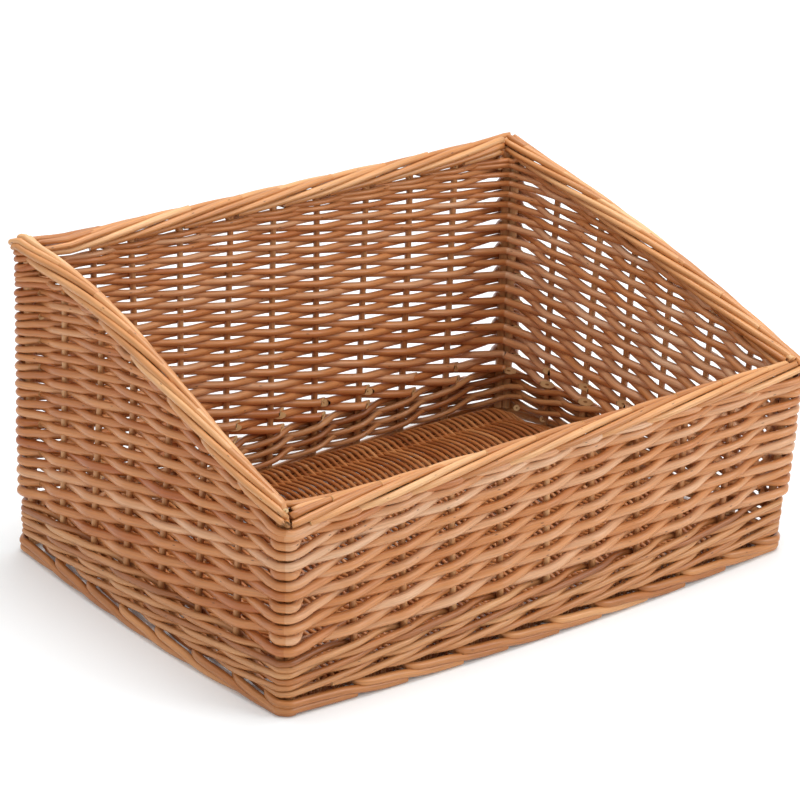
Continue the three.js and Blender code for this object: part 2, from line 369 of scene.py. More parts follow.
class Skins:
    """Gathers the skins of many rods into one mesh.

    Each point keeps where it lies on its rod (grain), its rod's shade (tone), and on a cut face how
    far it lies from the pith. The bake map lays the rods out in rows, so no two faces share a place.
    """

    on_skin = -1.0
    seed_run = 4000.0
    seed_shift = 90.0
    map_gap = 2.0
    map_end = 8.0
    map_strip = 20.0

    def __init__(self, sides: int) -> None:
        """Starts with no rods.

        Args:
            sides: Number of flats round a rod.
        """
        self.sides = sides
        angles = np.arange(sides) * 2 * math.pi / sides
        self.flat = np.stack([np.cos(angles), np.sin(angles)], axis=1)
        self.kept: dict[str, list[np.ndarray]] = {}
        self.faces: list[list[int]] = []
        self.spots: list[list[tuple[float, float]]] = []
        self.count = 0
        self.used = 0.0

    def add(self, rod: Rod) -> None:
        """Lays a rod's skin, and a flat face on each of its cut ends.

        Args:
            rod: The rod.
        """
        rod = rod.rounded()
        tangent = rod.heading
        first = rod.across - tangent * (tangent @ rod.across)[:, None]
        first /= np.linalg.norm(first, axis=1)[:, None]
        second = np.cross(tangent, first)
        flat = self.flat[None]
        spokes = flat[:, :, :1] * first[:, None, :] + flat[:, :, 1:] * second[:, None, :]
        skin = rod.line[:, None, :] + spokes * rod.radius[:, None, None]
        for end, ring, turn in ((rod.start, 0, 1), (rod.finish, -1, -1)):
            if end is End.CUT:
                skin[ring] += np.outer(spokes[ring] @ rod.slant, turn * tangent[ring]) * rod.radius[ring]
        length = rod.lengths()
        grain = np.empty(skin.shape)
        grain[:, :, 0] = length[:, None] + rod.seed * self.seed_run
        grain[:, :, 1:] = flat * rod.radius[:, None, None] + rod.seed * self.seed_shift
        pith = np.full(grain[:, :, 0].size, self.on_skin)
        base = self._keep(skin.reshape(-1, 3), spokes.reshape(-1, 3), grain.reshape(-1, 3), rod.tone, pith)
        run = self.used + length - length[0]
        for i, (here, there) in enumerate(zip(run[:-1], run[1:])):
            near, far = base + i * self.sides, base + (i + 1) * self.sides
            for k in range(self.sides):
                n = (k + 1) % self.sides
                low, high = k / self.sides, (k + 1) / self.sides
                self.faces.append([near + k, near + n, far + n, far + k])
                self.spots.append([(here, low), (here, high), (there, high), (there, low)])
        self.used += length[-1] - length[0] + self.map_gap
        for end, ring, turn in ((rod.start, 0, -1), (rod.finish, -1, 1)):
            if end is not End.OPEN:
                facing = turn * tangent[ring] + (rod.slant if end is End.CUT else 0.0)
                self._cap(rod, skin[ring], grain[ring], facing / np.linalg.norm(facing), end is End.CUT)

    def _keep(
        self, points: np.ndarray, normals: np.ndarray, grain: np.ndarray, tone: float, pith: np.ndarray
    ) -> int:
        """Stores points and their marks.

        Args:
            points: The points, in millimetres.
            normals: Which way the skin faces at each.
            grain: Where each lies on its rod, in millimetres.
            tone: The rod's shade.
            pith: Distance from the pith as a share of the radius, or -1 on the skin.

        Returns:
            The index of the first of them.
        """
        marks = {"normals": normals, "grain": grain * MM, "tone": np.full(len(points), tone), "pith": pith}
        for label, values in {"points": LEAN.settle(points) * MM, **marks}.items():
            self.kept.setdefault(label, []).append(values)
        self.count += len(points)
        return self.count - len(points)

    def _cap(self, rod: Rod, ring: np.ndarray, grain: np.ndarray, facing: np.ndarray, cut: bool) -> None:
        """Closes an end with a fan of faces.

        Args:
            rod: The rod that ends here.
            ring: The points round its end.
            grain: Where those lie on the rod.
            facing: Which way the end looks.
            cut: Whether the knife left bare wood here.
        """
        points = np.vstack([ring, ring.mean(axis=0)])
        marks = np.vstack([grain, grain.mean(axis=0)])
        pith = np.append(np.ones(self.sides), 0.0) if cut else np.full(self.sides + 1, self.on_skin)
        base = self._keep(points, np.tile(facing, (self.sides + 1, 1)), marks, rod.tone, pith)
        fan = np.cross(ring[0] - points[-1], ring[1] - points[-1]) @ facing
        middle = (self.used + self.map_end / 2, 0.5)
        rim = [(middle[0] + 0.42 * self.map_end * x, middle[1] + 0.42 * y) for x, y in self.flat]
        for k in range(self.sides):
            n = (k + 1) % self.sides
            pair = (k, n) if fan > 0 else (n, k)
            self.faces.append([base + self.sides, base + pair[0], base + pair[1]])
            self.spots.append([middle, rim[pair[0]], rim[pair[1]]])
        self.used += self.map_end + self.map_gap

    def to_object(self, name: str) -> bpy.types.Object:
        """Makes the mesh and puts it in the scene.

        Args:
            name: The piece's name.

        Returns:
            The new object.
        """
        mesh = bpy.data.meshes.new(name)
        mesh.from_pydata(np.vstack(self.kept["points"]).tolist(), [], self.faces)
        mesh.polygons.foreach_set("use_smooth", [True] * len(self.faces))
        grain = mesh.attributes.new("grain", "FLOAT_VECTOR", "POINT")
        grain.data.foreach_set("vector", np.vstack(self.kept["grain"]).ravel())
        for label in ("tone", "pith"):
            mark = mesh.attributes.new(label, "FLOAT", "POINT")
            mark.data.foreach_set("value", np.concatenate(self.kept[label]))
        self._bake_map(mesh)
        mesh.update()
        mesh.normals_split_custom_set_from_vertices(np.vstack(self.kept["normals"]).tolist())
        return put_in_scene(name, mesh)

    def _bake_map(self, mesh: bpy.types.Mesh) -> None:
        """Lays the rods' skins out in even rows on the map that textures are baked through.

        Args:
            mesh: The mesh, with its faces in the order of the spots.
        """
        width = math.sqrt(self.used * self.map_strip)
        rows = math.ceil(self.used / width) + 1
        spots = np.array([spot for face in self.spots for spot in face])
        starts = np.array([min(s[0] for s in face) for face in self.spots])
        row = np.repeat(np.floor(starts / width), [len(face) for face in self.spots])
        # Every row keeps a margin, so that no rod's colour runs into the next.
        across = (spots[:, 0] - row * width + 1.0) / (width + 2 * self.map_end)
        down = (row + 0.06 + 0.86 * spots[:, 1]) / rows
        chart = mesh.uv_layers.new(name="OFBake")
        chart.data.foreach_set("uv", np.stack([across, down], axis=1).ravel())


def bare_tree(owner: bpy.types.Material | bpy.types.World) -> Tree:
    """Gives a material or a world an empty node tree.

    Args:
        owner: The material or world.

    Returns:
        The tree.
    """
    owner.use_nodes = True
    owner.node_tree.nodes.clear()
    return owner.node_tree


def add_node(tree: Tree, kind: str, inputs: dict | None = None, **settings: object) -> bpy.types.Node:
    """Adds a node with its settings, and links or sets its inputs.

    Args:
        tree: The node tree.
        kind: The node's type.
        inputs: Input name or number to a value, or to the socket that feeds it.
        **settings: Attributes of the node.

    Returns:
        The new node.
    """
    node = tree.nodes.new(kind)
    for label, value in settings.items():
        setattr(node, label, value)
    for label, value in (inputs or {}).items():
        if isinstance(value, Socket):
            tree.links.new(value, node.inputs[label])
        else:
            node.inputs[label].default_value = value
    return node


def map_range(tree: Tree, value: Socket, source: Range, target: Range) -> Socket:
    """Carries a value over from one range to another, and keeps it inside that.

    Args:
        tree: The node tree.
        value: The value.
        source: The range that it comes from.
        target: The range that it goes to.

    Returns:
        The carried value.
    """
    ends = {"From Min": source[0], "From Max": source[1], "To Min": target[0], "To Max": target[1]}
    return add_node(tree, "ShaderNodeMapRange", {"Value": value, **ends}).outputs[0]


@dataclass(frozen=True)
class BuffWillow:
    """Buff willow: rods boiled in their bark and then stripped, which dyes the wood tan to red-brown.

    The stripped skin is smooth and satin, with fine fibres along the rod, blushes of redder and paler
    wood a hand's width long, and small dark scars where buds sat. A cut end is pale straw round a
    darker pith. The fibres are drawn about 1 mm wide, twice their real width, so that they show.
    """

    name: str
    deep: str
    middle: str
    pale: str
    roughness: float = 0.42
    ior: float = 1.48
    sheen: float = 0.32
    varnish: float = 0.3
    varnish_roughness: float = 0.22
    fibre_width: float = 1.0
    fibre_length: float = 26.0
    fibre_depth: float = 0.3
    streaks: Range = (0.8, 1.1)
    blush: float = 0.7
    blush_width: float = 9.0
    blush_length: float = 70.0
    scar_width: float = 5.0
    scar_spacing: float = 16.0
    cut_wood: str = "#E3C08C"
    pith_wood: str = "#9A6B3F"
    scar: str = "#4A2A17"

    def material(self) -> bpy.types.Material:
        """Builds the finish's node tree.

        Returns:
            The material.
        """
        made = bpy.data.materials.new(self.name)
        tree = bare_tree(made)
        tone, grain, pith = (
            add_node(tree, "ShaderNodeAttribute", attribute_name=label).outputs[kind]
            for label, kind in (("tone", "Fac"), ("grain", "Vector"), ("pith", "Fac"))
        )
        fibre = self._noise(tree, grain, self.fibre_length, self.fibre_width, 3.0)
        blush = self._noise(tree, grain, self.blush_length, self.blush_width, 2.0)
        about_zero = {0: blush, 1: self.blush, 2: -self.blush / 2}
        shift = add_node(tree, "ShaderNodeMath", about_zero, operation="MULTIPLY_ADD")
        shade = add_node(tree, "ShaderNodeMath", {0: tone, 1: shift.outputs[0]}, operation="ADD")
        streak = map_range(tree, fibre, (0.25, 0.75), self.streaks)
        stripe = {0: self._wood(tree, shade.outputs[0]), 1: streak}
        wood = add_node(tree, "ShaderNodeVectorMath", stripe, operation="MULTIPLY").outputs[0]
        wood = self._scarred(tree, wood, grain)
        ridge = {"Strength": 0.35, "Distance": self.fibre_depth * MM, "Height": fibre}
        look = {
            "Base Color": self._cut_ends(tree, wood, pith),
            "Roughness": map_range(tree, fibre, (0.2, 0.8), (self.roughness + 0.1, self.roughness - 0.06)),
            "Normal": add_node(tree, "ShaderNodeBump", ridge).outputs[0],
            "IOR": self.ior,
            "Specular IOR Level": self.sheen,
            "Coat Weight": self.varnish,
            "Coat Roughness": self.varnish_roughness,
        }
        skin = add_node(tree, "ShaderNodeBsdfPrincipled", look)
        add_node(tree, "ShaderNodeOutputMaterial", {"Surface": skin.outputs[0]})
        return made

    @staticmethod
    def _stretched(tree: Tree, grain: Socket, length: float, width: float) -> Socket:
        """Places on the rod, counted in lengths along it and widths across it."""
        scale = (1 / (length * MM), 1 / (width * MM), 1 / (width * MM))
        return add_node(tree, "ShaderNodeVectorMath", {0: grain, 1: scale}, operation="MULTIPLY").outputs[0]

    def _noise(self, tree: Tree, grain: Socket, length: float, width: float, detail: float) -> Socket:
        """Noise drawn out along the rod.

        Args:
            tree: The node tree.
            grain: Where a point lies on its rod, in metres.
            length: Size of the noise along the rod.
            width: Its size across the rod.
            detail: How much finer noise is laid over it.

        Returns:
            The noise's value.
        """
        place = self._stretched(tree, grain, length, width)
        noise = add_node(tree, "ShaderNodeTexNoise", {"Vector": place, "Scale": 1.0, "Detail": detail})
        return noise.outputs["Fac"]

    def _wood(self, tree: Tree, shade: Socket) -> Socket:
        """Colours the stripped wood.

        Args:
            tree: The node tree.
            shade: The shade, from 0, deep, to 1, pale.

        Returns:
            The colour.
        """
        ramp = add_node(tree, "ShaderNodeValToRGB", {"Fac": shade})
        stops = ramp.color_ramp.elements
        stops[0].position, stops[0].color = 0.08, linear_colour(self.deep)
        stops[1].position, stops[1].color = 0.92, linear_colour(self.pale)
        stops.new(0.5).color = linear_colour(self.middle)
        return ramp.outputs["Color"]

    def _scarred(self, tree: Tree, wood: Socket, grain: Socket) -> Socket:
        """Adds the small dark scars of the buds.

        Args:
            tree: The node tree.
            wood: The colour so far.
            grain: Where a point lies on its rod, in metres.

        Returns:
            The colour with scars.
        """
        place = self._stretched(tree, grain, self.scar_spacing, self.scar_width)
        cells = add_node(tree, "ShaderNodeTexVoronoi", {"Vector": place, "Scale": 1.0})
        near = map_range(tree, cells.outputs["Distance"], (0.05, 0.11), (0.7, 0.0))
        return self._blend(tree, near, wood, linear_colour(self.scar))

    def _cut_ends(self, tree: Tree, wood: Socket, pith: Socket) -> Socket:
        """Lays pale bare wood and its pith over the cut faces.

        Args:
            tree: The node tree.
            wood: The colour of the skin.
            pith: Distance from the pith as a share of the radius, or -1 on the skin.

        Returns:
            The colour with the cut faces in it.
        """
        core = map_range(tree, pith, (0.18, 0.34), (1.0, 0.0))
        face = self._blend(tree, core, linear_colour(self.cut_wood), linear_colour(self.pith_wood))
        bare = add_node(tree, "ShaderNodeMath", {0: pith, 1: -0.5}, operation="GREATER_THAN")
        return self._blend(tree, bare.outputs[0], wood, face)

    @staticmethod
    def _blend(tree: Tree, share: Socket, first: Socket | Colour, second: Socket | Colour) -> Socket:
        """Blends two colours; share is how much of the second shows."""
        mix = add_node(tree, "ShaderNodeMix", {0: share, 6: first, 7: second}, data_type="RGBA")
        return mix.outputs[2]


class Finish(Enum):
    """The finishes, each with the willow it is made of."""

    WEAVERS = BuffWillow("buff_willow_stripped_weavers", "#A85A24", "#C98650", "#DEB08A")
    WALE = BuffWillow("buff_willow_stripped_fine_rods", "#8E5226", "#B4723E", "#CE9764")
    STAKES = BuffWillow("buff_willow_stripped_stout_rods", "#A4683C", "#C48B58", "#D8A876", 0.44)
    BORDERS = BuffWillow("buff_willow_stripped_border_rods", "#AE6C36", "#CF9058", "#E2B07C", 0.36)
    BASE = BuffWillow("buff_willow_stripped_base_rods", "#8E4E22", "#B06C38", "#C88A54", 0.46)

    @property
    def slot(self) -> str:
        """A slot name made from the finish's name."""
        return "willow_" + self.name.lower()


@cache
def timber(finish: Finish) -> bpy.types.Material:
    """The material of a finish, built once."""
    return finish.value.material()


def finish_piece(name: str, rods: list[Rod], finish: Finish, nodes: list[str], sides: int = 10) -> None:
    """Makes one piece from its rods, dresses it and ties it to the frame.

    Args:
        name: The piece's name.
        rods: Its rods.
        finish: What it is made of.
        nodes: The CAD nodes that it stands for.
        sides: Flats round a rod.
    """
    skins = Skins(sides)
    for rod in rods:
        skins.add(rod)
    piece = skins.to_object(name)
    piece.data.materials.append(timber(finish))
    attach(piece, "root")
    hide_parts(*nodes)
    log.info("%s: %d rods, %d faces", name, len(rods), len(piece.data.polygons))


@dataclass(frozen=True)
class Upright:
    """A stake or corner post, read from its CAD node."""

    node: str
    x: float
    y: float
    bottom: float
    top: float
    radius: float

    @classmethod
    def of_node(cls, node: str) -> "Upright":
        """Reads an upright's place and size from its node's box.

        Args:
            node: The node.

        Returns:
            The upright.
        """
        low, high = box_mm(node)
        middle = (low + high) / 2
        return cls(node, middle[0], middle[1], low[2], high[2], (high[0] - low[0]) / 2)


@dataclass(frozen=True)
class Wall:
    """One wall's own frame: u runs along it as the rods travel, n points out of the basket."""

    side: Side
    along: np.ndarray
    out: np.ndarray
    half: float
    reach: float
    stakes: tuple[Upright, ...]
    posts: tuple[Upright, ...]

    def place(self, u: np.ndarray, n: np.ndarray, z: np.ndarray) -> np.ndarray:
        """Turns places in the wall's frame into points, one a row."""
        return u[:, None] * self.along + (self.reach + n)[:, None] * self.out + z[:, None] * UP

    def u_of(self, upright: Upright) -> float:
        """Place of an upright along the wall."""
        return float(np.dot([upright.x, upright.y, 0.0], self.along))

    def y_at(self, u: np.ndarray) -> np.ndarray:
        """Distance towards the back at places along the wall's middle line."""
        return u * self.along[1] + self.reach * self.out[1]


@dataclass(frozen=True)
class Unit:
    """What a rod passes as one: a stake, or the pair of posts in a corner, which has no node."""

    place: float
    radius: float
    corner: bool
    node: str = ""


class Plan:
    """The basket's sizes and lines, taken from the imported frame."""

    corner_zone = 15.0
    outer_cut = 2.0
    outer_depth = 4.0
    lean_spread = 0.018
    long_wall_stakes = 9
    short_wall_stakes = 6

    def __init__(self) -> None:
        """Reads the walls, the uprights and the levels from the CAD nodes."""
        front_low, front_high = box_mm("front_rim_border")
        back_high = box_mm("back_rim_border")[1]
        wale_low, wale_high = box_mm("upsett_wale")
        self.rim_width = front_high[1] - front_low[1]
        self.rim_height = front_high[2] - front_low[2]
        self.front_edge, self.back_edge = front_low[1], back_high[1]
        self.front_height, self.back_height = front_high[2], back_high[2]
        self.wale_bottom, self.wale_top = wale_low[2], wale_high[2]
        self.slope = (self.back_height - self.front_height) / (self.back_edge - self.front_edge)
        self.half_x = front_high[0] - self.rim_width / 2
        self.half_y = back_high[1] - self.rim_width / 2
        self.walls = [self._wall(side) for side in Side]
        self._lay_ring()
        self.units = self._units()
        self.spots = np.array([unit.place for unit in self.units])
        self.corners = np.array([unit.place for unit in self.units if unit.corner])
        leans = default_rng(5).normal(0, self.lean_spread, len(self.units))
        self.leans = np.clip(leans, -2 * self.lean_spread, 2 * self.lean_spread)
        self.leans[[i for i, unit in enumerate(self.units) if unit.corner]] = 0.0

    def _wall(self, side: Side) -> Wall:
        """Reads one wall.

        Args:
            side: Which wall.

        Returns:
            The wall with its stakes and posts in the order in which rods pass them.
        """
        turn = list(Side).index(side) * math.pi / 2
        along = np.array([round(math.cos(turn)), round(math.sin(turn)), 0.0])
        out = np.array([along[1], -along[0], 0.0])
        long_wall = side in (Side.FRONT, Side.BACK)
        half, reach = (self.half_x, self.half_y) if long_wall else (self.half_y, self.half_x)
        count = self.long_wall_stakes if long_wall else self.short_wall_stakes
        stakes = tuple(Upright.of_node(f"{side.value}_stake_{i + 1}") for i in range(count))
        posts = tuple(Upright.of_node(f"{side.value}_corner_post_{i + 1}") for i in range(2))
        return Wall(side, along, out, half, reach, stakes, posts)

    def _lay_ring(self) -> None:
        """Draws the walls' middle line as a table of length, place and outward direction.

        It starts at the middle of the front left corner and turns at each corner post. The outward
        direction swings round over a longer stretch, so that lines inside the wall don't fold. Rods
        outside the posts turn more sharply, so they keep a line of their own round the corners.
        """
        turns = [np.array([post.x, post.y]) for wall in self.walls for post in wall.posts]
        tips = [np.sign(turn) * (self.half_x, self.half_y) for turn in turns]
        reach = float(np.linalg.norm(turns[0] - turns[-1]))
        share = self.outer_cut / reach
        outer_turns = [tip + (turn - tip) * share for tip, turn in zip(tips, turns)]
        stops, outer_stops = self._closed(turns), self._closed(outer_turns)
        points, outer, edges = [], [], []
        for i, (start, stop) in enumerate(zip(stops[:-1], stops[1:])):
            count = int(np.linalg.norm(stop - start)) + 2
            points.extend(np.linspace(start, stop, count)[:-1])
            outer.extend(np.linspace(outer_stops[i], outer_stops[i + 1], count)[:-1])
            edges.extend([(i - 3) * math.pi / 4] * (count - 1))
        edges.append(edges[0] + 2 * math.pi)
        self.ring_points = np.array([*points, stops[-1]])
        self.ring_outer = np.array([*outer, outer_stops[-1]]) - self.ring_points
        runs = np.linalg.norm(np.diff(self.ring_points, axis=0), axis=1)
        self.ring_places = np.concatenate([[0.0], np.cumsum(runs)])
        self.round = float(self.ring_places[-1])
        knots, angles = [], []
        for i, corner in enumerate([0.0, *(self._corner_place(i) for i in (1, 2, 3)), self.round]):
            knots += [corner - reach, corner + reach]
            angles += [(i - 2) * math.pi / 2, (i - 1) * math.pi / 2]
        swing = np.interp(self.ring_places, knots, angles)
        lean = 1 / np.cos(swing - np.array(edges))
        self.ring_outs = np.stack([np.cos(swing) * lean, np.sin(swing) * lean], axis=1)

    @staticmethod
    def _closed(turns: list[np.ndarray]) -> list[np.ndarray]:
        """The turning points with the middle of the front left corner before and after them."""
        first = (turns[-1] + turns[0]) / 2
        return [first, *turns, first]

    def _corner_place(self, index: int) -> float:
        """Length round the middle line at the middle of a corner, counted from the front left one."""
        before, after = self.walls[index - 1].posts[1], self.walls[index].posts[0]
        return self._place_of((before.x + after.x) / 2, (before.y + after.y) / 2)

    def _place_of(self, x: float, y: float) -> float:
        """Length round the middle line at which a point lies."""
        return float(self.ring_places[np.argmin(np.hypot(*(self.ring_points - (x, y)).T))])

    def _units(self) -> list[Unit]:
        """Lists the corners and stakes in the order in which rods pass them.

        Returns:
            The units of one round.
        """
        units = []
        for i, wall in enumerate(self.walls):
            units.append(Unit(self._corner_place(i) if i else 0.0, wall.posts[0].radius, True))
            units.extend(Unit(self._place_of(st.x, st.y), st.radius, False, st.node) for st in wall.stakes)
        return units

    def follow(self, s: np.ndarray, n: np.ndarray, z: np.ndarray) -> np.ndarray:
        """The line of a rod round the walls, which bends a little more gently than the corner does.

        Args:
            s: Length round the walls' middle line, any number of rounds.
            n: Distance out of the wall's middle.
            z: Height.

        Returns:
            The line's points, one a row.
        """
        s = np.mod(s, self.round)
        outside = np.clip(n / self.outer_depth, 0.0, 1.0)
        spot = []
        for axis in (0, 1):
            inner, outer, out = (
                np.interp(s, self.ring_places, table[:, axis])
                for table in (self.ring_points, self.ring_outer, self.ring_outs)
            )
            spot.append(inner + outside * outer + n * out)
        line = np.stack([*spot, z], axis=1)
        bends = self.from_corner(s)[1:-1] < self.corner_zone
        eased = (line[:-2] + 2 * line[1:-1] + line[2:]) / 4
        line[1:-1] = np.where(bends[:, None], eased, line[1:-1])
        return line

    def from_corner(self, s: np.ndarray) -> np.ndarray:
        """Distance round the walls from the nearest corner."""
        apart = np.mod(s, self.round)[:, None] - self.corners[None]
        return np.abs((apart + self.round / 2) % self.round - self.round / 2).min(axis=1)

    def sway(self, index: int, z: np.ndarray | float) -> np.ndarray:
        """How far a unit leans along the wall at a height; it stands upright in the wale."""
        return self.leans[index % len(self.units)] * np.maximum(z - self.wale_top, 0.0)

    def lean_of(self, stake: Upright, z: np.ndarray | float) -> np.ndarray:
        """How far a stake leans along its wall at heights."""
        return self.sway([unit.node for unit in self.units].index(stake.node), z)

    def unit(self, index: int) -> Unit:
        """The unit at an index, counted on over the rounds."""
        return self.units[index % len(self.units)]

    def at_unit(self, index: float) -> float:
        """Length round the middle line at a unit's index.

        Args:
            index: The index, counted on over the rounds, with fractions between units.

        Returns:
            The length.
        """
        count = len(self.units)
        rounds = math.floor(index / count)
        knots = np.append(self.spots, self.round)
        return float(rounds * self.round + np.interp(index - rounds * count, np.arange(count + 1), knots))

    def rim_top(self, y: np.ndarray) -> np.ndarray:
        """Height of the rim's top at distances towards the back."""
        climb = self.front_height + (y - self.front_edge) * self.slope
        return np.clip(climb, self.front_height, self.back_height)

    def rim_under(self, s: np.ndarray | float) -> np.ndarray:
        """Height of the rim's underside round the walls."""
        y = np.interp(np.mod(s, self.round), self.ring_places, self.ring_points[:, 1])
        return self.rim_top(y) - self.rim_height

    def steps(self, start: float, stop: float, step: float = 4.6) -> np.ndarray:
        """Places along the walls for a rod's points, closer together round the corners.

        Args:
            start: Length at which the rod starts.
            stop: Length at which it stops.
            step: Distance between points on a straight wall.

        Returns:
            The places.
        """
        fine = np.arange(start, stop - step / 3, step / 3)
        keep = (self.from_corner(fine) < self.corner_zone) | (np.arange(len(fine)) % 3 == 0)
        return np.append(fine[keep], stop)

    def by_wall(self, rods: list[Rod]) -> dict[Side, list[Rod]]:
        """Parts rods at the corners, so that each wall has its own stretch of them.

        Args:
            rods: Rods that may go round corners.

        Returns:
            Each wall's stretches.
        """
        shares: dict[Side, list[Rod]] = {side: [] for side in Side}
        for rod in rods:
            x, y = rod.line[:, 0], rod.line[:, 1]
            long_wall = np.abs(y) - self.half_y > np.abs(x) - self.half_x
            side = np.where(long_wall, np.where(y < 0, 0, 2), np.where(x > 0, 1, 3))
            cuts = [0, *(np.flatnonzero(np.diff(side)) + 1), len(side) - 1]
            for first, last in zip(cuts[:-1], cuts[1:]):
                if last > first:
                    shares[list(Side)[side[first]]].append(rod.part(first, last))
        return shares


@dataclass
class Woven:
    """A sub-assembly of rods that follow the plan, with its own source of small irregularities."""

    plan: Plan
    rng: Generator


@dataclass
class Uprights(Woven):
    """The stakes of the walls and the paired posts of the corners."""

    into_foot: float = 6.0
    into_rim: float = 5.0
    bow: float = 0.35
    post_push: float = 1.0
    post_fill: float = 1.04
    post_apart: float = 0.96
    rings: int = 16

    def heights(self, upright: Upright) -> np.ndarray:
        """Heights of an upright's points, from the foot's rods up into the rim's."""
        return np.linspace(upright.bottom - self.into_foot, upright.top + self.into_rim, self.rings)

    def standing(self, line: np.ndarray, radius: np.ndarray) -> Rod:
        """A rod that stands on end, with a shade of its own."""
        return Rod(line, radius, self.rng.uniform(0.2, 0.8), self.rng.uniform(), across=ALONG_X)

    def stake(self, wall: Wall, upright: Upright) -> Rod:
        """A slightly bowed stake that thins towards its top.

        Args:
            wall: The wall that it stands in.
            upright: Its place and size.

        Returns:
            The rod.
        """
        z = self.heights(upright)
        sway = self.bow * np.sin(z / self.rng.uniform(30, 50) + self.rng.uniform(0, 6, (2, 1)))
        line = np.stack([upright.x + sway[0], upright.y + sway[1], z], axis=1)
        line += np.outer(self.plan.lean_of(upright, z), wall.along)
        radius = upright.radius * np.linspace(1.0, 0.9, len(z)) * self.rng.uniform(0.95, 1.03)
        return self.standing(line, radius)

    def post(self, upright: Upright, partner: Upright) -> Rod:
        """A straight corner post, pressed against its partner and into the corner by the weavers.

        Args:
            upright: Its place and size.
            partner: The other post of the corner.

        Returns:
            The rod.
        """
        z = self.heights(upright)
        apart = np.array([upright.x - partner.x, upright.y - partner.y]) / 2
        spot = np.array([upright.x, upright.y]) - apart
        touch = apart / np.linalg.norm(apart) * upright.radius * self.post_apart
        spot = spot + touch + np.sign(spot) * self.post_push
        line = np.column_stack([np.tile(spot, (len(z), 1)), z])
        return self.standing(line, np.full(len(z), upright.radius * self.post_fill))

    def build(self) -> None:
        """Makes a piece of each wall's stakes and one of all the corner posts."""
        walls = self.plan.walls
        for wall in walls:
            rods = [self.stake(wall, stake) for stake in wall.stakes]
            finish_piece(f"{wall.side.value}_stakes", rods, Finish.STAKES, [st.node for st in wall.stakes])
        pairs = [(walls[i - 1].posts[1], walls[i].posts[0]) for i in range(len(walls))]
        rods = [self.post(post, partner) for a, b in pairs for post, partner in ((a, b), (b, a))]
        finish_piece("corner_posts", rods, Finish.STAKES, [post.node for pair in pairs for post in pair])


